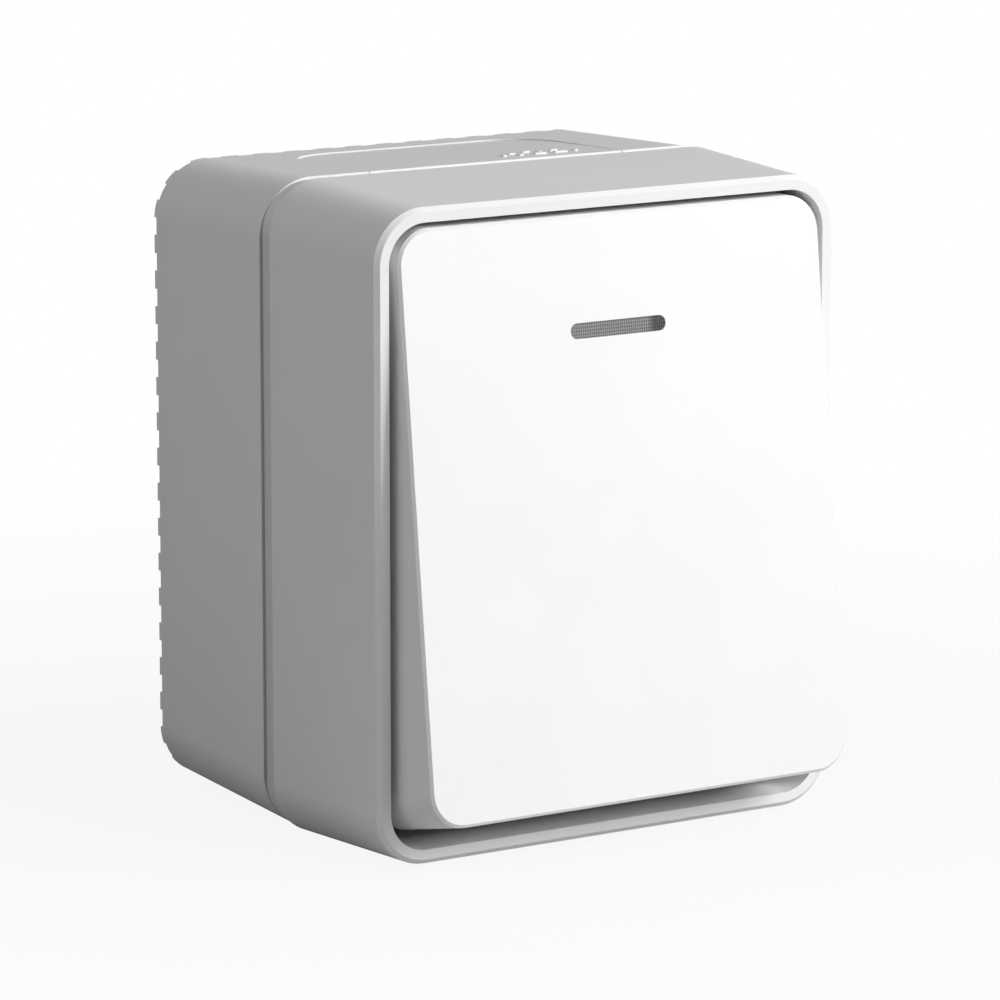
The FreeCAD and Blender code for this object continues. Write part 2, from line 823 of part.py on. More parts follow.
def mechanism_housing():
    outer = slab(housing_width, housing_height, housing_corner, housing_rear_y, plate_back_y)
    chamber = slab(
        housing_width - 2 * housing_wall,
        housing_height - 2 * housing_wall,
        chamber_corner,
        chamber_rear_y,
        plate_back_y - 1,
    )
    body = outer.cut(chamber)
    half = rib_thickness / 2
    seats = []
    common_back = chamber_rear_y - common_strip_rise
    contact_back = chamber_rear_y - contact_strip_rise
    inner_reach = terminal_x - terminal_half
    common_z = (-seat_drop - half, -seat_drop + half)
    seats.append(block((-inner_reach, -seat_inner), (chamber_rear_y + 0.1, common_back), common_z))
    for sz in (1, -1):
        z = sz * (terminal_z - seat_drop)
        seat_z = (z - half, z + half)
        seats.append(block((seat_inner, inner_reach), (chamber_rear_y + 0.1, contact_back), seat_z))
    body = fuse_all([body] + seats)
    cutters = []
    for _, x, z, way in terminal_places():
        cutters.append(rod_y(x, z - way * wire_offset, wire_hole, housing_rear_y + 1, chamber_rear_y - 0.1))
        grip = button_half + button_fit
        middle = z + way * button_offset
        cutters.append(
            block(
                (x - grip, x + grip),
                (housing_rear_y + 1, chamber_rear_y - 0.1),
                (middle - grip, middle + grip),
            )
        )
    notch = clip_width / 2 + clip_fit
    tip = plate_back_y + clip_length
    deep = housing_height / 2 - clip_catch
    for sz in (1, -1):
        cutters.append(
            block(
                (-notch, notch),
                (tip + clip_fit, tip - clip_thickness - clip_fit),
                (sz * deep, sz * (housing_height / 2 + 1)),
            )
        )
    room = lead_radius + lead_hole
    notch_y = (plate_back_y - 1, plate_back_y + lead_depth + room)
    top = housing_height / 2
    for sx in (1, -1):
        notch_x = (sx * lead_x - room, sx * lead_x + room)
        cutters.append(block(notch_x, notch_y, (top - housing_wall - 1, top + 1)))
    return body.cut(Part.makeCompound(cutters))


def lead_tab(x, front, top):
    """A tongue of the strip that reaches forward to a lead of the lamp."""
    half = lead_radius + lead_hole
    reach = plate_back_y + lead_depth - lead_radius - lead_hole
    return block((x - half, x + half), (front + 0.1, reach), (top - tab_thickness, top))


def common_terminal():
    back = chamber_rear_y - common_strip_rise - strip_fit
    front = back - strip_thickness
    left = -terminal_x - terminal_half
    edge = lever_width / 2 + lever_cheek + strip_thickness
    z_pair = (-strip_below, strip_above)
    post_x = lever_width / 2 - lever_post_half
    strip = block((left, edge), (back, front), z_pair)
    post = block((-post_x, post_x), (front + 0.1, lever_y), (-lever_post_half, lever_post_half))
    pin = rod_x(-edge, edge, lever_y, 0, lever_pin_radius)
    cage = block((left, left + strip_thickness), (front + 0.1, front - cage_height), z_pair)
    return fuse_all([strip, post, pin, cage, lead_tab(-lead_x, front, strip_above)])


def fixed_contact_face():
    """Depth of the fixed contacts, just clear of the closed lever."""
    turn = math.radians(lever_tilt)
    tip = contact_height - lever_pin_radius - lever_pin_fit
    return lever_y + tip * math.cos(turn) + (contact_arm + contact_radius) * math.sin(turn) + contact_gap


def contact_terminal(with_lead):
    """The strip of the upper fixed contact; the lower one mirrors it."""
    back = chamber_rear_y - contact_strip_rise - strip_fit
    front = back - strip_thickness
    right = terminal_x + terminal_half
    high = terminal_z + strip_above
    z_pair = (terminal_z - strip_below, high)
    rivet_z = contact_arm * math.cos(math.radians(lever_tilt))
    added = [
        block((-seat_inner, right), (back, front), z_pair),
        rod_y(0, rivet_z, contact_radius, front + 0.1, fixed_contact_face()),
        block((right - strip_thickness, right), (front + 0.1, front - cage_height), z_pair),
    ]
    if with_lead:
        added.append(lead_tab(lead_x, front, high))
    return fuse_all(added)


def clamp_spring(x, z, way, strip_rise):
    """A bent leaf that grips a wire against the terminal strip."""
    front = chamber_rear_y - strip_rise - strip_fit - strip_thickness
    middle = z + way * (button_offset - clamp_radius + clamp_wall / 2)
    bend_y = front - clamp_rise
    x_pair = (x - clamp_half, x + clamp_half)
    ring = rod_x(x_pair[0], x_pair[1], bend_y, middle, clamp_radius)
    wide = (x_pair[0] - 1, x_pair[1] + 1)
    ring = ring.cut(rod_x(wide[0], wide[1], bend_y, middle, clamp_radius - clamp_wall))
    span = clamp_radius + 1
    ring = ring.cut(block(wide, (bend_y, bend_y + span), (middle - span, middle + span)))
    near = (middle - way * clamp_radius, middle - way * (clamp_radius - clamp_wall))
    far = (middle + way * clamp_radius, middle + way * (clamp_radius - clamp_wall))
    grip = block(x_pair, (bend_y - 0.01, front - strip_fit), near)
    button_end = housing_rear_y + button_proud - button_length - button_travel
    free = block(x_pair, (bend_y - 0.01, button_end - button_flange_gap), far)
    return fuse_all([ring, grip, free])


def release_button(x, z, way):
    start = housing_rear_y + button_proud
    middle = z + way * button_offset
    stem = block(
        (x - button_half, x + button_half),
        (start, start - button_length),
        (middle - button_half, middle + button_half),
    )
    wide = button_half + button_flange
    shoulder = chamber_rear_y - button_flange_gap
    flange = block(
        (x - wide, x + wide), (shoulder, shoulder - button_flange_thickness), (middle - wide, middle + wide)
    )
    return fuse_all([stem, flange])


def seat_lever(shape):
    """Turns the contact lever to the rest end of its travel."""
    shape.rotate(vector(0, 0, 0), vector(1, 0, 0), lever_tilt)
    shape.translate(vector(0, lever_y, 0))
    return shape


def contact_lever():
    back = -lever_pin_radius - lever_pin_fit
    half = lever_width / 2
    front = back - lever_thickness
    added = [slab(lever_width, 2 * lever_half, lever_corner, back, front)]
    zone = (-lever_cheek_half, lever_cheek_half)
    for sx in (1, -1):
        outer = sx * (half + lever_cheek)
        added.append(block((sx * half, outer), (front, lever_pin_radius + lever_cheek), zone))
        added.append(block((sx * (half - lever_cheek / 4), outer), (back, front), zone))
    body = fuse_all(added)
    reach = half + lever_cheek + 1
    return body.cut(rod_x(-reach, reach, 0, 0, lever_pin_radius + lever_pin_fit))


def lever_contacts():
    back = -lever_pin_radius - lever_pin_fit
    tips = [rod_y(0, sz * contact_arm, contact_radius, back, back + contact_height) for sz in (1, -1)]
    return Part.makeCompound(tips)


def indicator_lamp():
    body = rod_x(-lamp_half, lamp_half, lamp_y, lens_up, lamp_radius)
    return body.makeFillet(lamp_radius * 0.8, body.Edges[0:1] + body.Edges[2:3])


def lamp_holder():
    half_z = lamp_radius + lamp_fit + holder_wall
    reach = lamp_half + holder_wall
    z_pair = (lens_up - half_z, lens_up + half_z)
    added = [block((-reach, reach), (plate_front_y, plate_front_y - holder_base), z_pair)]
    for sx in (1, -1):
        post = (sx * (reach - holder_post), sx * reach)
        added.append(block(post, (plate_front_y, lamp_y), z_pair))
    body = fuse_all(added)
    seat = rod_x(-lamp_half - lamp_fit, lamp_half + lamp_fit, lamp_y, lens_up, lamp_radius + lamp_fit)
    cutters = [seat]
    room = lead_radius + lead_hole
    for sx in (1, -1):
        cutters.append(rod_y(sx * lead_x, lens_up, room, plate_front_y + 1, lamp_y - 1))
        cutters.append(rod_x(sx * (lamp_half - 1), sx * (lead_x + room), lamp_y, lens_up, room))
    return body.cut(Part.makeCompound(cutters))


def lamp_leads():
    """Two stiff leads from the lamp, down behind the plate to the terminals."""
    back = plate_back_y + lead_depth
    wires = []
    for sx, end in ((1, terminal_z + strip_above), (-1, strip_above)):
        x = sx * lead_x
        path = (
            vector(sx * lamp_half, lamp_y, lens_up),
            vector(x, lamp_y, lens_up),
            vector(x, back, lens_up),
            vector(x, back, end + strip_fit),
        )
        wires.append(mitred_wire(path, lead_radius))
    return Part.makeCompound(wires)


def build():
    box, post_end = base_box()
    save("base_box", box)
    entry = cable_entry()
    save("cable_entry_top", entry)
    save("cable_entry_bottom", mirror_z(entry))
    save("cover_gasket", cover_gasket())
    save("cover_frame", cover_frame(post_end))
    screws, seals = cover_screws(post_end)
    save("cover_screws", screws)
    save("cover_screw_seals", seals)
    save("rocker", seat_rocker(rocker()))
    save("lens", seat_rocker(lens()))
    save("cradle", seat_rocker(cradle()))
    save("plunger", seat_rocker(plunger()))
    save("plunger_spring", seat_rocker(plunger_spring()))
    save("mounting_plate", mounting_plate())
    save("plate_screws", plate_screws())
    save("mechanism_seal", mechanism_seal())
    save("mechanism_housing", mechanism_housing())
    save("common_terminal", common_terminal())
    save("upper_terminal", contact_terminal(True))
    save("lower_terminal", mirror_z(contact_terminal(False)))
    rises = {"common": common_strip_rise, "upper": contact_strip_rise, "lower": contact_strip_rise}
    for name, x, z, way in terminal_places():
        save("clamp_spring_" + name, clamp_spring(x, z, way, rises[name]))
        save("release_button_" + name, release_button(x, z, way))
    save("contact_lever", seat_lever(contact_lever()))
    save("lever_contacts", seat_lever(lever_contacts()))
    save("lamp_holder", lamp_holder())
    save("indicator_lamp", indicator_lamp())
    save("lamp_leads", lamp_leads())


build()
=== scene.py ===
"""Looks of a surface-mounted splash-proof rocker switch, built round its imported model.

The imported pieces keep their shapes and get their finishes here. New pieces are the
prisms of the lens, the raised marks of the upper cable entry and the screw threads.
"""

import json
import logging
import math
from dataclasses import dataclass
from enum import Enum

import bmesh
import bpy
from mathutils import Matrix, Vector


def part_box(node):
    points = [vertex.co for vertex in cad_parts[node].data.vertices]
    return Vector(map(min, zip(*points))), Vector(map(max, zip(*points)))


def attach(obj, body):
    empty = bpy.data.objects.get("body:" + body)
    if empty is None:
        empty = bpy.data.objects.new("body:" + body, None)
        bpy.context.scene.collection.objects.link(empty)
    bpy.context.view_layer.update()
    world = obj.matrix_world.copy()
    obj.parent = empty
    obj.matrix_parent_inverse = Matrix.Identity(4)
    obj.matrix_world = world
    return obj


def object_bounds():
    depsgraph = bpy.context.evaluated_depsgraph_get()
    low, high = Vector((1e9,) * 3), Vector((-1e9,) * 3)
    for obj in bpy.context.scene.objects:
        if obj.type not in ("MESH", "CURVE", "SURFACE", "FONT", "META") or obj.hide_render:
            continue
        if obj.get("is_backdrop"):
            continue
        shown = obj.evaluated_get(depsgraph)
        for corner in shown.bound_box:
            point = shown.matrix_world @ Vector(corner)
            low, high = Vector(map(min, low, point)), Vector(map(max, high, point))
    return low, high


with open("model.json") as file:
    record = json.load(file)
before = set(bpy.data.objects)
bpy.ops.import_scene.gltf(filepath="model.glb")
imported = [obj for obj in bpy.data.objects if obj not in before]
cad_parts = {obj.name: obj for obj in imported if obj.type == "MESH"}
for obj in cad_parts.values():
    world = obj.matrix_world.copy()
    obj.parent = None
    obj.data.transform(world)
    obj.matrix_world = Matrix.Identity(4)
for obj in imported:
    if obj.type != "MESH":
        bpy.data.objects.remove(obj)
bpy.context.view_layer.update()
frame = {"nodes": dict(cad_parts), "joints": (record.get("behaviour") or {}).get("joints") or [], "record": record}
LOG = logging.getLogger("switch")
MM = 0.001

# How quickly the finer octaves of a noise texture fade.
NOISE_ROUGHNESS = 0.55
# Where on a noise's grey scale the darker and the lighter tint are reached.
TINT_ENDS = (0.3, 0.7)
# Radians that the wave texture's bands turn in one metre at a scale of one.
WAVE_RATE = 20.0
# Numbers of the Mix node's sockets when it mixes colours.
MIX_FACTOR, MIX_A, MIX_B, MIX_RESULT = 0, 6, 7, 2
# Height of the triangle whose corners lie on a circle of radius one.
TRIANGLE_HEIGHT = 1.5

Colour = tuple[float, float, float]
Socket = bpy.types.NodeSocket
Material = bpy.types.Material


@dataclass(frozen=True)
class Relief:
    """The fine relief of a surface.

    Args:
        scale: Grains per metre.
        depth: Relief in metres.
        strength: Share of the relief that shades.
        octaves: How many finer layers the grain has.
    """

    scale: float
    depth: float
    strength: float
    octaves: float = 3.0


class Grain(Enum):
    """How a moulding tool's surface was finished, with the relief that it leaves."""

    MATT = Relief(scale=5200.0, depth=0.02 * MM, strength=0.22)
    SATIN = Relief(scale=4200.0, depth=0.012 * MM, strength=0.10)


class NodeTree:
    """The nodes of a material or of the world, with short calls to add and join them."""

    def __init__(self, owner: Material | bpy.types.World, output: str) -> None:
        """Empties the owner's nodes and adds its output.

        Args:
            owner: The material or the world.
            output: The type of its output node.
        """
        owner.use_nodes = True
        self.owner = owner
        self.tree = owner.node_tree
        self.tree.nodes.clear()
        self.output = self.add(output)

    @classmethod
    def of_material(cls, name: str) -> "NodeTree":
        """The nodes of a new material."""
        return cls(bpy.data.materials.new(name), "ShaderNodeOutputMaterial")

    @classmethod
    def of_world(cls, name: str) -> "NodeTree":
        """The nodes of a new world."""
        return cls(bpy.data.worlds.new(name), "ShaderNodeOutputWorld")

    def add(self, kind: str, **values: object) -> bpy.types.Node:
        """Adds a node and sets its properties or inputs.

        Args:
            kind: The node's type.
            values: Properties, or inputs with underscores for spaces.

        Returns:
            The new node.
        """
        node = self.tree.nodes.new(kind)
        for key, value in values.items():
            if hasattr(node, key):
                setattr(node, key, value)
            else:
                node.inputs[key.replace("_", " ")].default_value = value
        return node

    def join(self, source: Socket, target: Socket) -> None:
        """Links an output to an input."""
        self.tree.links.new(source, target)

    def place(self, stretch: tuple[float, float, float] = (1.0, 1.0, 1.0)) -> Socket:
        """Object coordinates, stretched.

        Args:
            stretch: Scale along each axis.

        Returns:
            The vector socket of the coordinates.
        """
        source = self.add("ShaderNodeTexCoord")
        mapping = self.add("ShaderNodeMapping", Scale=stretch)
        self.join(source.outputs["Object"], mapping.inputs["Vector"])
        return mapping.outputs["Vector"]

    def along(self, at: Socket, axis: str) -> Socket:
        """One coordinate of a place.

        Args:
            at: The place's vector socket.
            axis: X, Y or Z.

        Returns:
            The coordinate's socket.
        """
        split = self.add("ShaderNodeSeparateXYZ")
        self.join(at, split.inputs["Vector"])
        return split.outputs[axis]

    def noise(self, at: Socket, scale: float, octaves: float) -> Socket:
        """A noise texture's grey value.

        Args:
            at: Where the noise is read.
            scale: Features per metre.
            octaves: How many finer layers it has.

        Returns:
            The factor socket.
        """
        node = self.add(
            "ShaderNodeTexNoise", Scale=scale, Detail=octaves, Roughness=NOISE_ROUGHNESS
        )
        self.join(at, node.inputs["Vector"])
        return node.outputs["Fac"]

    def grain(self, at: Socket, relief: Relief) -> Socket:
        """The height of a relief as a grey value."""
        return self.noise(at, relief.scale, relief.octaves)

    def maths(self, operation: str, *terms: Socket | float) -> Socket:
        """Works one sum.

        Args:
            operation: The Math node's operation.
            terms: Sockets or numbers, in the order of its inputs.

        Returns:
            The result's socket.
        """
        node = self.add("ShaderNodeMath", operation=operation)
        for place, term in zip(node.inputs, terms):
            if isinstance(term, float):
                place.default_value = term
            else:
                self.join(term, place)
        return node.outputs["Value"]

    def between(
        self, factor: Socket, low: float, high: float, start: float = 0.0, end: float = 1.0
    ) -> Socket:
        """Maps a value to a range.

        Args:
            factor: The value's socket.
            low: The result where the value is at its start.
            high: The result where the value is at its end.
            start: The value's start.
            end: The value's end.

        Returns:
            The result's socket.
        """
        node = self.add(
            "ShaderNodeMapRange", From_Min=start, From_Max=end, To_Min=low, To_Max=high
        )
        self.join(factor, node.inputs["Value"])
        return node.outputs["Result"]

    def tint(self, factor: Socket, dark: Colour, light: Colour) -> Socket:
        """Mixes two colours by a noise.

        Args:
            factor: The noise's socket.
            dark: The colour where it is low.
            light: The colour where it is high.

        Returns:
            The mixed colour's socket.
        """
        ramp = self.add("ShaderNodeValToRGB")
        for stop, position, colour in zip(ramp.color_ramp.elements, TINT_ENDS, (dark, light)):
            stop.position = position
            stop.color = (*colour, 1.0)
        self.join(factor, ramp.inputs["Fac"])
        return ramp.outputs["Color"]

    def scaled(self, colour: Socket, share: Socket) -> Socket:
        """A colour times a share of itself.

        Args:
            colour: The colour's socket.
            share: The share's socket.

        Returns:
            The new colour's socket.
        """
        node = self.add("ShaderNodeVectorMath", operation="SCALE")
        self.join(colour, node.inputs[0])
        self.join(share, node.inputs["Scale"])
        return node.outputs[0]

    def bump(self, height: Socket, relief: Relief) -> Socket:
        """Turns a height into a shading normal.

        Args:
            height: The height's socket, from zero to one.
            relief: How deep it is and how much it shades.

        Returns:
            The normal's socket.
        """
        node = self.add("ShaderNodeBump", Strength=relief.strength, Distance=relief.depth)
        self.join(height, node.inputs["Height"])
        return node.outputs["Normal"]

    def seen_plainly(self) -> Socket:
        """One to the camera, straight or through clear pieces, and zero as a light.

        Returns:
            The factor socket.
        """
        path = self.add("ShaderNodeLightPath")
        return self.maths(
            "MAXIMUM", path.outputs["Is Camera Ray"], path.outputs["Is Transmission Ray"]
        )

    def coat(self, colour: Socket, roughness: Socket, normal: Socket, **values: float) -> Material:
        """Ends the material with a principled shader.

        Args:
            colour: The base colour's socket.
            roughness: The roughness's socket.
            normal: The shading normal's socket.
            values: The shader's other inputs, with underscores for spaces.

        Returns:
            The finished material.
        """
        shader = self.add("ShaderNodeBsdfPrincipled", **values)
        self.join(colour, shader.inputs["Base Color"])
        self.join(roughness, shader.inputs["Roughness"])
        self.join(normal, shader.inputs["Normal"])
        return self.close(shader)

    def close(self, shader: bpy.types.Node) -> Material | bpy.types.World:
        """Joins the shader to the output and returns the material or world."""
        self.join(shader.outputs[0], self.output.inputs["Surface"])
        return self.owner


def shade(colour: Colour, share: float) -> Colour:
    """A colour made darker or lighter by a share of itself."""
    return tuple(min(1.0, channel * share) for channel in colour)


def grey(value: float) -> Colour:
    """A grey of one value in all three channels."""
    return (value, value, value)


@dataclass(frozen=True)
class SeamShade:
    """Painted shade on the sides, in the recessed band and the joint where wall box and cover meet.

    Args:
        line: Where the two meet along Y, in metres.
        band: How far the band reaches in front of the line.
        overlap: How far the painted shade reaches past the band's two edges.
        hair: Half the width of the joint line, which takes the stronger painted shade.
        top: Height above or below the middle where the painted shade starts to fade.
        fade: How far it takes to fade.
        band_shade: Share of the colour that the painted shade takes from the band.
        hair_shade: Further share that the painted shade takes from the joint line.
    """

    line: float
    band: float = 2.6 * MM
    overlap: float = 0.05 * MM
    hair: float = 0.16 * MM
    top: float = 37.0 * MM
    fade: float = 4.5 * MM
    band_shade: float = 0.17
    hair_shade: float = 0.2

    def share(self, nodes: NodeTree, at: Socket) -> Socket:
        """How much of its colour the housing keeps under the painted shade at a place.

        Args:
            nodes: The housing's nodes.
            at: The place's vector socket.

        Returns:
            The share's socket.
        """
        depth = nodes.along(at, "Y")
        half = self.band / 2
        in_band = nodes.maths("COMPARE", depth, self.line - half, half + self.overlap)
        in_hair = nodes.maths("COMPARE", depth, self.line, self.hair)
        # Painted shade: the band and, more strongly, the joint line are darkened.
        painted_shade = nodes.maths(
            "ADD",
            nodes.between(in_band, 0.0, self.band_shade),
            nodes.between(in_hair, 0.0, self.hair_shade),
        )
        # The painted shade keeps to the sides and fades out towards the top and bottom.
        height = nodes.maths("ABSOLUTE", nodes.along(at, "Z"))
        side = nodes.between(height, 1.0, 0.0, self.top, self.top + self.fade)
        return nodes.between(nodes.maths("MULTIPLY", painted_shade, side), 1.0, 0.0)


@dataclass(frozen=True)
class MouldedPlastic:
    """An opaque moulded plastic.

    Args:
        name: The finish's name.
        colour: Its base colour.
        grain: The tool's finish.
        roughness: Mean roughness.
        flow: Share by which the colour drifts across a moulding.
        seam: The seam along whose band painted shade darkens it, if any.
        drifts: Drifts of the colour per metre.
        spread: How far the roughness lies to either side of its mean.
        ior: Index of refraction.
        gloss: Level of the plain reflection.
    """

    name: str
    colour: Colour
    grain: Grain
    roughness: float
    flow: float = 0.012
    seam: SeamShade | None = None
    drifts: float = 45.0
    spread: float = 0.05
    ior: float = 1.5
    gloss: float = 0.42

    def build(self) -> Material:
        """Makes the material.

        Returns:
            The material.
        """
        nodes = NodeTree.of_material(self.name)
        relief = self.grain.value
        at = nodes.place()
        drift = nodes.noise(at, self.drifts, relief.octaves)
        pores = nodes.grain(at, relief)
        dark = shade(self.colour, 1.0 - self.flow)
        light = shade(self.colour, 1.0 + self.flow)
        colour = nodes.tint(drift, dark, light)
        # Painted shade along the seam's band and joint line.
        if self.seam:
            colour = nodes.scaled(colour, self.seam.share(nodes, at))
        low, high = self.roughness - self.spread, self.roughness + self.spread
        return nodes.coat(
            colour,
            nodes.between(pores, low, high),
            nodes.bump(pores, relief),
            IOR=self.ior,
            Specular_IOR_Level=self.gloss,
        )


@dataclass(frozen=True)
class Metal:
    """A drawn, stamped or plated metal.

    Args:
        name: The finish's name.
        colour: Its reflection colour.
        roughness: Mean roughness.
        stretch: How far the rolling marks are drawn out along each axis.
        marks: The rolling marks.
        stains: Stains per metre.
        stained: Share of the colour that a stain leaves.
        smoothest: Share of the roughness where a mark is low.
        roughest: Share of the roughness where a mark is high.
    """

    name: str
    colour: Colour
    roughness: float
    stretch: tuple[float, float, float] = (1.0, 0.08, 1.0)
    marks: Relief = Relief(scale=6000.0, depth=0.02 * MM, strength=0.15, octaves=4.0)
    stains: float = 300.0
    stained: float = 0.86
    smoothest: float = 0.7
    roughest: float = 1.4

    def build(self) -> Material:
        """Makes the material.

        Returns:
            The material.
        """
        nodes = NodeTree.of_material(self.name)
        marks = nodes.grain(nodes.place(self.stretch), self.marks)
        stain = nodes.noise(nodes.place(), self.stains, octaves=3.0)
        low, high = self.roughness * self.smoothest, self.roughness * self.roughest
        return nodes.coat(
            nodes.tint(stain, shade(self.colour, self.stained), self.colour),
            nodes.between(marks, low, high),
            nodes.bump(marks, self.marks),
            Metallic=1.0,
        )


@dataclass(frozen=True)
class MouldedRubber:
    """A soft seal rubber with a dusty bloom.

    Args:
        name: The finish's name.
        colour: Its base colour.
        pores: The fine relief of its skin.
        blooms: Dusty patches per metre.
        dust: How much lighter than the base colour the dust is.
        roughness: Roughness of the bare skin and of the dust.
    """

    name: str
    colour: Colour
    pores: Relief = Relief(scale=5000.0, depth=0.03 * MM, strength=0.3, octaves=2.0)
    blooms: float = 700.0
    dust: float = 1.35
    roughness: tuple[float, float] = (0.62, 0.8)

    def build(self) -> Material:
        """Makes the material.

        Returns:
            The material.
        """
        nodes = NodeTree.of_material(self.name)
        at = nodes.place()
        bloom = nodes.noise(at, self.blooms, octaves=4.0)
        pores = nodes.grain(at, self.pores)
        return nodes.coat(
            nodes.tint(bloom, self.colour, shade(self.colour, self.dust)),
            nodes.between(bloom, *self.roughness),
            nodes.bump(pores, self.pores),
        )


@dataclass(frozen=True)
class SmokeLens:
    """Smoke-tinted clear plastic whose far end is darkened with painted shade of the unlit hollow behind it.

    Args:
        name: The finish's name.
        colour: Colour over the lit chamber.
        deep: Painted shade colour over the far end.
        dark_from: Where the dark end starts along X, in metres.
        before: How far before that place the colour begins to change.
        after: How far past that place it ends.
        rib_pitch: Distance from prism to prism along X.
        rib_shade: Share by which painted shade darkens the valleys between prisms and painted highlight lightens
            their crowns.
        haze: The faint relief of its face.
        roughness: Lowest and highest roughness.
        ior: Index of refraction.
    """

    name: str
    colour: Colour
    deep: Colour
    dark_from: float
    before: float = 0.5 * MM
    after: float = 0.9 * MM
    rib_pitch: float = 0.345 * MM
    rib_shade: float = 0.3
    haze: Relief = Relief(scale=900.0, depth=0.02 * MM, strength=0.08)
    roughness: tuple[float, float] = (0.10, 0.20)
    ior: float = 1.49

    def lit_and_shaded_chamber(self, nodes: NodeTree, at: Socket) -> Socket:
        """The colour of the lit hollow behind the lens, with painted shade towards its far end.

        Args:
            nodes: The lens's nodes.
            at: The place's vector socket.

        Returns:
            The colour's socket.
        """
        fade = nodes.add(
            "ShaderNodeMapRange",
            interpolation_type="SMOOTHSTEP",
            From_Min=self.dark_from - self.before,
            From_Max=self.dark_from + self.after,
        )
        nodes.join(nodes.along(at, "X"), fade.inputs["Value"])
        # Painted shade of the unlit hollow towards the lens's far end.
        mix = nodes.add("ShaderNodeMix", data_type="RGBA")
        mix.inputs[MIX_A].default_value = (*self.colour, 1.0)
        mix.inputs[MIX_B].default_value = (*self.deep, 1.0)
        nodes.join(fade.outputs["Result"], mix.inputs[MIX_FACTOR])
        return mix.outputs[MIX_RESULT]

    def build(self) -> Material:
        """Makes the material.

        Returns:
            The material.
        """
        nodes = NodeTree.of_material(self.name)
        at = nodes.place()
        # Painted shade in the prisms' valleys and painted highlight on their crowns, in bands along X.
        prism_shading = nodes.add("ShaderNodeTexWave", Scale=math.tau / (WAVE_RATE * self.rib_pitch))
        nodes.join(at, prism_shading.inputs["Vector"])
        share = nodes.between(prism_shading.outputs["Fac"], 1.0 - self.rib_shade, 1.0 + self.rib_shade)
        haze = nodes.grain(at, self.haze)
        return nodes.coat(
            nodes.scaled(self.lit_and_shaded_chamber(nodes, at), share),
            nodes.between(haze, *self.roughness),
            nodes.bump(haze, self.haze),
            IOR=self.ior,
        )


@dataclass(frozen=True)
class LampGlass:
    """The thin glass of the indicator lamp.

    Args:
        name: The finish's name.
        colour: Its base colour.
        stretch: How far its waves are drawn out along each axis.
        waves: The faint waves that drawing leaves in it.
        dimmed: Share of the colour that a wave's low leaves.
        roughness: Lowest and highest roughness.
        clear: Share of the light that goes through.
        ior: Index of refraction.
    """

    name: str
    colour: Colour
    stretch: tuple[float, float, float] = (0.1, 1.0, 1.0)
    waves: Relief = Relief(scale=900.0, depth=0.03 * MM, strength=0.1, octaves=2.0)
    dimmed: float = 0.9
    roughness: tuple[float, float] = (0.02, 0.08)
    clear: float = 0.85
    ior: float = 1.47

    def build(self) -> Material:
        """Makes the material.

        Returns:
            The material.
        """
        nodes = NodeTree.of_material(self.name)
        waves = nodes.grain(nodes.place(self.stretch), self.waves)
        return nodes.coat(
            nodes.tint(waves, shade(self.colour, self.dimmed), self.colour),
            nodes.between(waves, *self.roughness),
            nodes.bump(waves, self.waves),
            Transmission_Weight=self.clear,
            IOR=self.ior,
        )


def everything(bm: bmesh.types.BMesh) -> list:
    """All vertices, edges and faces of a bmesh."""
    return bm.verts[:] + bm.edges[:] + bm.faces[:]


def soften(
    bm: bmesh.types.BMesh, edges: list[bmesh.types.BMEdge], offset: float, segments: int
) -> None:
    """Rounds edges of a bmesh.

    Args:
        bm: The bmesh.
        edges: The edges.
        offset: How far the rounding reaches from each edge.
        segments: Flats that it is cut with.
    """
    bmesh.ops.bevel(
        bm,
        geom=edges,
        offset=offset,
        segments=segments,
        profile=0.5,
        affect="EDGES",
        material=-1,
    )


def close_openings(bm: bmesh.types.BMesh) -> None:
    """Puts a face on each open rim of a bmesh."""
    bmesh.ops.holes_fill(bm, edges=[edge for edge in bm.edges if edge.is_boundary], sides=0)


def gather(whole: bmesh.types.BMesh, part: bmesh.types.BMesh) -> None:
    """Moves what is in one bmesh into another.

    Args:
        whole: The bmesh that takes it in.
        part: The other one, which is freed.
    """
    held = bpy.data.meshes.new("held")
    part.to_mesh(held)
    part.free()
    whole.from_mesh(held)
    bpy.data.meshes.remove(held)


def put_in_scene(name: str, data: bpy.types.ID) -> bpy.types.Object:
    """Makes an object of a mesh, lamp or camera and links it to the scene.

    Args:
        name: The object's name.
        data: The mesh, lamp or camera.

    Returns:
        The new object.
    """
    made = bpy.data.objects.new(name, data)
    bpy.context.scene.collection.objects.link(made)
    return made


def make_piece(
    bm: bmesh.types.BMesh, name: str, body: str, material: Material
) -> bpy.types.Object:
    """Makes a scene object of a bmesh and lets it ride on a body.

    Args:
        bm: The finished bmesh, in the part's own frame, which is freed.
        name: The piece's name.
        body: The body it moves with.
        material: Its finish.

    Returns:
        The new object, at the origin.
    """
    bmesh.ops.recalc_face_normals(bm, faces=bm.faces)
    mesh = bpy.data.meshes.new(name)
    bm.to_mesh(mesh)
    bm.free()
    mesh.materials.append(material)
    piece = put_in_scene(name, mesh)
    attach(piece, body)
    return piece


def joint_named(name: str) -> dict:
    """The frame's joint of that name."""
    return next(joint for joint in frame["joints"] if joint["name"] == name)


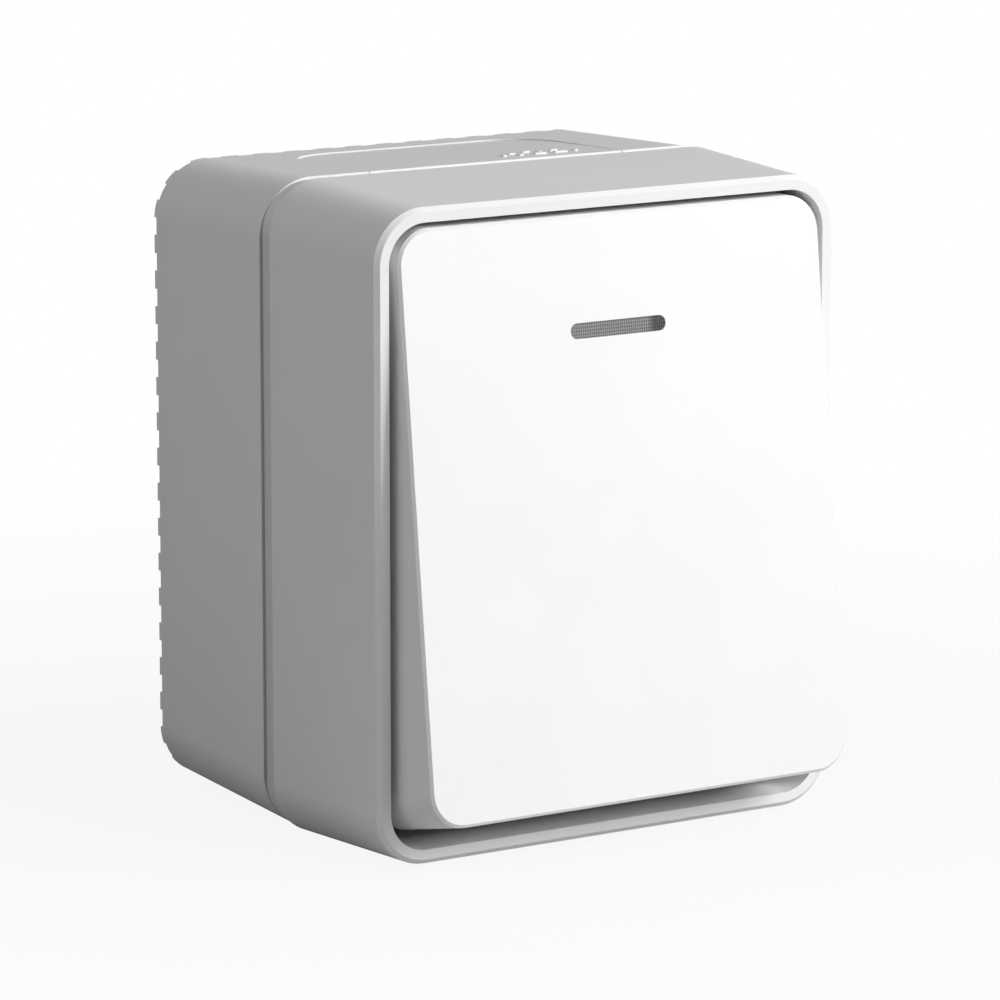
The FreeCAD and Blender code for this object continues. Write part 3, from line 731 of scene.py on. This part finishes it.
@dataclass(frozen=True)
class LensPrisms:
    """Small four-sided prisms over the whole face of the lens.

    Args:
        tilt: How far the rocker leans back at rest, in degrees.
        reach: From the rocker's pivot to its face, in metres.
        up: Height of the lens above the rocker's middle.
        width: Length of the lens.
        height: Height of the lens.
        sink: How far its face lies below the rocker's.
        inset: How far the prisms stay inside the lens's outline.
        across: Distance from prism to prism along the lens.
        along: Distance from prism to prism up the lens.
        rise: Height of a prism.
        skirt: How deep the prisms' common rim reaches into the lens.
        sides: Flats that each round end is cut with.
    """

    tilt: float = 6.6
    reach: float = 18.1 * MM
    up: float = 24.07 * MM
    width: float = 15.0 * MM
    height: float = 2.0 * MM
    sink: float = 0.12 * MM
    inset: float = 0.02 * MM
    across: float = 0.345 * MM
    along: float = 0.46 * MM
    rise: float = 0.15 * MM
    skirt: float = 0.25 * MM
    sides: int = 12

    def trim(self, bm: bmesh.types.BMesh) -> None:
        """Cuts the grid of prisms to the lens's round-ended outline.

        Args:
            bm: The grid.
        """
        radius = self.height / 2 - self.inset
        run = self.width / 2 - self.height / 2
        for end in (1, -1):
            for step in range(self.sides + 1):
                angle = math.pi * (step / self.sides - 0.5)
                outward = Vector((end * math.cos(angle), math.sin(angle), 0))
                bmesh.ops.bisect_plane(
                    bm,
                    geom=everything(bm),
                    plane_co=Vector((end * run, 0, 0)) + outward * radius,
                    plane_no=outward,
                    clear_outer=True,
                )

    def close(self, bm: bmesh.types.BMesh) -> None:
        """Gives the prisms a rim that reaches into the lens, and a back.

        Args:
            bm: The trimmed grid.
        """
        rim = [edge for edge in bm.edges if edge.is_boundary]
        made = bmesh.ops.extrude_edge_only(bm, edges=rim)["geom"]
        for item in made:
            if isinstance(item, bmesh.types.BMVert):
                item.co.z = -self.skirt
        close_openings(bm)

    def seat(self) -> Matrix:
        """Where the flat grid goes.

        Returns:
            The way from the grid's place to the tilted rocker's face.
        """
        upright = Matrix.Rotation(math.radians(90), 4, "X")
        outward = Matrix.Translation((0, -self.reach + self.sink - self.inset, self.up))
        pivot = Vector(joint_named("rocker_rock")["pos_m"])
        lean = Matrix.Translation(pivot) @ Matrix.Rotation(math.radians(-self.tilt), 4, "X")
        return lean @ outward @ upright

    def build(self, material: Material) -> bpy.types.Object:
        """Makes the prisms.

        Args:
            material: The lens's finish.

        Returns:
            The piece.
        """
        bm = bmesh.new()
        columns = math.ceil(self.width / self.across)
        rows = math.ceil(self.height / self.along)
        bmesh.ops.create_grid(bm, x_segments=columns, y_segments=rows, size=0.5)
        bmesh.ops.scale(bm, vec=(columns * self.across, rows * self.along, 1.0), verts=bm.verts)
        bmesh.ops.poke(bm, faces=bm.faces, offset=self.rise)
        self.trim(bm)
        self.close(bm)
        bmesh.ops.transform(bm, matrix=self.seat(), verts=bm.verts)
        return make_piece(bm, "lens_prisms", "rocker", material)


@dataclass(frozen=True)
class Stroke:
    """One raised stroke of a mark.

    Args:
        x: Its middle along X, in metres.
        behind: How far its middle lies behind the parting line.
        width: Its size along X.
        length: Its size along Y.
    """

    x: float
    behind: float
    width: float
    length: float


@dataclass(frozen=True)
class EntryMarks:
    """Raised dots and dashes of a generic kind on the upper cable entry.

    Args:
        strokes: The dots and dashes.
        rise: Height of the marks.
        draft: How far the wall falls towards the back, in degrees.
        rounding: Share of a stroke's smaller side that rounds its corners.
        corner_flats: Flats that each corner is cut with.
        edge: Share of the height that softens its upper edge.
        edge_flats: Flats that the upper edge is cut with.
    """

    strokes: tuple[Stroke, ...] = (
        Stroke(3.7 * MM, 4.3 * MM, 0.7 * MM, 0.8 * MM),
        Stroke(5.8 * MM, 5.6 * MM, 1.1 * MM, 0.4 * MM),
        Stroke(6.1 * MM, 3.8 * MM, 0.7 * MM, 0.8 * MM),
        Stroke(8.7 * MM, 6.6 * MM, 1.3 * MM, 0.6 * MM),
        Stroke(9.3 * MM, 3.8 * MM, 2.0 * MM, 0.7 * MM),
        Stroke(10.3 * MM, 5.8 * MM, 0.6 * MM, 1.2 * MM),
        Stroke(12.7 * MM, 3.9 * MM, 2.2 * MM, 0.7 * MM),
        Stroke(13.0 * MM, 6.2 * MM, 1.3 * MM, 0.6 * MM),
        Stroke(15.3 * MM, 4.2 * MM, 0.7 * MM, 0.8 * MM),
    )
    rise: float = 0.2 * MM
    draft: float = 1.92
    rounding: float = 0.3
    corner_flats: int = 4
    edge: float = 0.25
    edge_flats: int = 2

    def block(self, stroke: Stroke) -> bmesh.types.BMesh:
        """One stroke, whose lower half lies below the surface that carries it.

        Args:
            stroke: Its sizes.

        Returns:
            The rounded block, in its place on the level surface.
        """
        part = bmesh.new()
        bmesh.ops.create_cube(part, size=1.0)
        size = (stroke.width, stroke.length, 2 * self.rise)
        bmesh.ops.scale(part, vec=size, verts=part.verts)
        upright = [
            edge for edge in part.edges if edge.verts[0].co.z * edge.verts[1].co.z < 0
        ]
        turn = min(stroke.width, stroke.length) * self.rounding
        soften(part, upright, turn, self.corner_flats)
        upper = [edge for edge in part.edges if all(vert.co.z > 0 for vert in edge.verts)]
        soften(part, upper, self.rise * self.edge, self.edge_flats)
        bmesh.ops.translate(part, vec=(stroke.x, stroke.behind, 0), verts=part.verts)
        return part

    def build(self, material: Material) -> bpy.types.Object:
        """Makes the strokes.

        Args:
            material: The wall box's finish.

        Returns:
            The piece.
        """
        low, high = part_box("cable_entry_top")
        bm = bmesh.new()
        for stroke in self.strokes:
            gather(bm, self.block(stroke))
        lean = Matrix.Rotation(math.radians(-self.draft), 4, "X")
        seat = Matrix.Translation((0, low.y, high.z)) @ lean
        bmesh.ops.transform(bm, matrix=seat, verts=bm.verts)
        return make_piece(bm, "entry_marks", "root", material)


@dataclass(frozen=True)
class ScrewThreads:
    """The thread ridges on the two shanks of one kind of screw.

    Args:
        node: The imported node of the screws.
        shank: Radius of the shank, in metres.
        head: Radius of the head.
        lead: How far the thread ends before the tip.
        turns: Number of turns.
        pitch: Distance from turn to turn.
        rise: Height of the ridge.
        root: How far the ridge's foot lies inside the shank.
        steps: Flats in each turn.
    """

    node: str
    shank: float = 1.5 * MM
    head: float = 2.8 * MM
    lead: float = 1.7 * MM
    turns: int = 7
    pitch: float = 1.0 * MM
    rise: float = 0.13 * MM
    root: float = 0.05 * MM
    steps: int = 32

    def tips(self) -> list[Vector]:
        """Where the tips of the two screws are.

        Returns:
            The upper left tip and the lower right one.
        """
        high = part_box(self.node)[1]
        across, up = high.x - self.head, high.z - self.head
        return [Vector((-across, high.y, up)), Vector((across, high.y, -up))]

    def ridge(self) -> bmesh.types.BMesh:
        """One helical ridge.

        Returns:
            The ridge, which starts at the origin and winds along Y.
        """
        bm = bmesh.new()
        bmesh.ops.create_circle(bm, cap_ends=True, segments=3, radius=1.0)
        tall = self.rise + self.root
        share = tall / TRIANGLE_HEIGHT
        point_out = Matrix.Rotation(math.radians(-90), 4, "Z")
        sized = Matrix.Diagonal((share, share, 1.0, 1.0))
        middle = self.shank - self.root + tall / 3
        seat = Matrix.Translation((middle, 0, 0))
        bmesh.ops.transform(bm, matrix=seat @ sized @ point_out, verts=bm.verts)
        bmesh.ops.spin(
            bm,
            geom=everything(bm),
            cent=(0, 0, 0),
            axis=(0, 1, 0),
            dvec=(0, self.pitch / self.steps, 0),
            angle=math.tau * self.turns,
            steps=self.turns * self.steps,
            use_merge=False,
        )
        close_openings(bm)
        return bm

    def build(self, material: Material) -> bpy.types.Object:
        """Makes the ridges of both screws.

        Args:
            material: The screws' finish.

        Returns:
            The piece.
        """
        bm = bmesh.new()
        for tip in self.tips():
            one = self.ridge()
            start = tip - Vector((0, self.lead + self.turns * self.pitch, 0))
            bmesh.ops.translate(one, vec=start, verts=one.verts)
            gather(bm, one)
        return make_piece(bm, f"{self.node}_threads", "root", material)


class Switch:
    """The whole switch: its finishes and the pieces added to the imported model."""

    def __init__(self) -> None:
        """Builds one material for each material slot of the record."""
        # The housing gets painted shade along the seam between wall box and cover.
        seam = SeamShade(line=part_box("cable_entry_top")[0].y)
        even = (1.0, 1.0, 1.0)
        finishes = (
            MouldedPlastic("housing_white", grey(0.835), Grain.MATT, 0.48, seam=seam),
            MouldedPlastic("rocker_white", grey(0.87), Grain.SATIN, 0.42),
            MouldedPlastic("mechanism_grey", (0.36, 0.38, 0.40), Grain.MATT, 0.5, 0.05),
            MouldedPlastic("button_grey", (0.11, 0.13, 0.16), Grain.SATIN, 0.42, 0.05),
            SmokeLens("lens_smoke", (0.31, 0.31, 0.315), (0.12, 0.12, 0.125), 5.0 * MM),
            MouldedRubber("seal_grey", (0.045, 0.047, 0.05)),
            Metal("screw_steel", (0.62, 0.62, 0.60), 0.32, even),
            Metal("spring_steel", (0.55, 0.56, 0.58), 0.25),
            Metal("contact_brass", (0.78, 0.58, 0.26), 0.28),
            Metal("contact_silver", (0.86, 0.85, 0.83), 0.3, even),
            Metal("lead_wire", (0.68, 0.68, 0.69), 0.3, (1.0, 0.1, 0.1)),
            LampGlass("lamp_glass", (0.95, 0.80, 0.62)),
        )
        self.materials = {finish.name: finish.build() for finish in finishes}

    def dress(self) -> None:
        """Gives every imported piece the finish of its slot."""
        slots = {row["node"]: row["material_slot"] for row in frame["record"]["subparts"]}
        for name, piece in frame["nodes"].items():
            finish = self.materials[slots[name]]
            if not piece.material_slots:
                piece.data.materials.append(finish)
            for place in piece.material_slots:
                place.material = finish
            LOG.info("dressed %s in %s", name, finish.name)

    def add_pieces(self) -> None:
        """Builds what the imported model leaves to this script."""
        steel = self.materials["screw_steel"]
        pieces = [
            LensPrisms().build(self.materials["lens_smoke"]),
            EntryMarks().build(self.materials["housing_white"]),
            ScrewThreads("cover_screws").build(steel),
            ScrewThreads("plate_screws").build(steel),
        ]
        for piece in pieces:
            LOG.info("made %s with %d faces", piece.name, len(piece.data.polygons))


@dataclass(frozen=True)
class Lamp:
    """A square soft lamp aimed at the switch.

    Args:
        name: The lamp's name.
        toward: Direction from the switch to the lamp.
        distance: How far away it stands, in metres.
        size: Its side, in metres.
        power: Its power, in watts.
    """

    name: str
    toward: tuple[float, float, float]
    distance: float
    size: float
    power: float

    def place(self, target: Vector) -> None:
        """Adds the lamp, aimed at a point.

        Args:
            target: The point.
        """
        data = bpy.data.lights.new(self.name, "AREA")
        data.shape = "SQUARE"
        data.size = self.size
        data.energy = self.power
        lamp = put_in_scene(self.name, data)
        way = Vector(self.toward).normalized()
        lamp.location = target + way * self.distance
        lamp.rotation_euler = way.to_track_quat("Z", "Y").to_euler()


@dataclass(frozen=True)
class Studio:
    """Floor, light and camera of the picture.

    Args:
        camera_at: Where the camera stands, in metres.
        camera_way: The direction that it looks in.
        camera_lens: Its focal length, in millimetres.
        camera_sensor: Width of its sensor, in millimetres.
        camera_near: Nearest distance that it shows, in metres.
        camera_far: Farthest distance that it shows.
        floor_size: Side of the floor, in metres.
        floor_colour: Grey value of its paint.
        white_near: Share of plain white that the camera sees in the floor near the switch.
        fade_from: Distance from the middle where the floor starts to fade to white.
        fade_to: Distance from which it is all white.
        ambient: Strength of the surround as a light.
        lamps: The lamps.
    """

    camera_at: tuple[float, float, float] = (-0.3949, -0.6589, 0.1447)
    camera_way: tuple[float, float, float] = (0.5222, 0.8303, -0.1945)
    camera_lens: float = 196.9
    camera_sensor: float = 36.0
    camera_near: float = 0.05
    camera_far: float = 50.0
    floor_size: float = 12.0
    floor_colour: float = 0.5
    white_near: float = 0.9
    fade_from: float = 0.05
    fade_to: float = 0.22
    ambient: float = 0.088
    lamps: tuple[Lamp, ...] = (
        Lamp("key", (0.60, -0.65, 0.47), 1.3, 0.6, 15.9),
        Lamp("front", (0.35, -0.93, 0.15), 1.3, 0.8, 4.0),
        Lamp("fill", (-0.46, 0.04, 0.88), 1.2, 0.8, 3.2),
        Lamp("side", (-0.75, 0.12, 0.65), 1.2, 0.6, 1.0),
    )

    def world(self) -> None:
        """A plain pale surround that shows white to the camera."""
        nodes = NodeTree.of_world("surround")
        back = nodes.add("ShaderNodeBackground", Color=(*grey(1.0), 1.0))
        level = nodes.between(nodes.seen_plainly(), self.ambient, 1.0)
        nodes.join(level, back.inputs["Strength"])
        bpy.context.scene.world = nodes.close(back)

    def floor_paint(self) -> Material:
        """A grey paint that fades to plain white for the camera.

        Returns:
            The material.
        """
        nodes = NodeTree.of_material("floor_paint")
        plain = nodes.add("ShaderNodeBsdfDiffuse", Color=(*grey(self.floor_colour), 1.0))
        white = nodes.add("ShaderNodeEmission", Strength=1.0)
        away = nodes.add("ShaderNodeVectorMath", operation="LENGTH")
        nodes.join(nodes.place(), away.inputs[0])
        fade = nodes.between(
            away.outputs["Value"], self.white_near, 1.0, self.fade_from, self.fade_to
        )
        share = nodes.maths("MULTIPLY", nodes.seen_plainly(), fade)
        mix = nodes.add("ShaderNodeMixShader")
        for source, target in zip((share, plain.outputs[0], white.outputs[0]), mix.inputs):
            nodes.join(source, target)
        return nodes.close(mix)

    def floor(self) -> None:
        """A plain pale floor that carries the switch's shadow."""
        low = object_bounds()[0]
        bm = bmesh.new()
        bmesh.ops.create_grid(bm, x_segments=1, y_segments=1, size=self.floor_size / 2)
        bmesh.ops.translate(bm, vec=(0, 0, low.z), verts=bm.verts)
        mesh = bpy.data.meshes.new("floor")
        bm.to_mesh(mesh)
        bm.free()
        mesh.materials.append(self.floor_paint())
        floor = put_in_scene("floor", mesh)
        floor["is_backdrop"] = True

    def camera(self) -> None:
        """The camera at the photograph's angle."""
        data = bpy.data.cameras.new("camera")
        data.lens = self.camera_lens
        data.sensor_width = self.camera_sensor
        data.clip_start = self.camera_near
        data.clip_end = self.camera_far
        camera = put_in_scene("camera", data)
        camera.location = self.camera_at
        camera.rotation_euler = Vector(self.camera_way).to_track_quat("-Z", "Y").to_euler()
        bpy.context.scene.camera = camera

    def build(self) -> None:
        """Sets the picture up."""
        low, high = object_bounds()
        target = (low + high) / 2
        self.camera()
        self.world()
        self.floor()
        for lamp in self.lamps:
            lamp.place(target)
        bpy.context.scene.view_settings.view_transform = "Standard"


def main() -> None:
    """Builds the picture and the dressed switch, in order."""
    logging.basicConfig(level=logging.INFO, format="%(name)s: %(message)s")
    Studio().build()
    switch = Switch()
    switch.dress()
    switch.add_pieces()


if __name__ == "__main__":
    main()
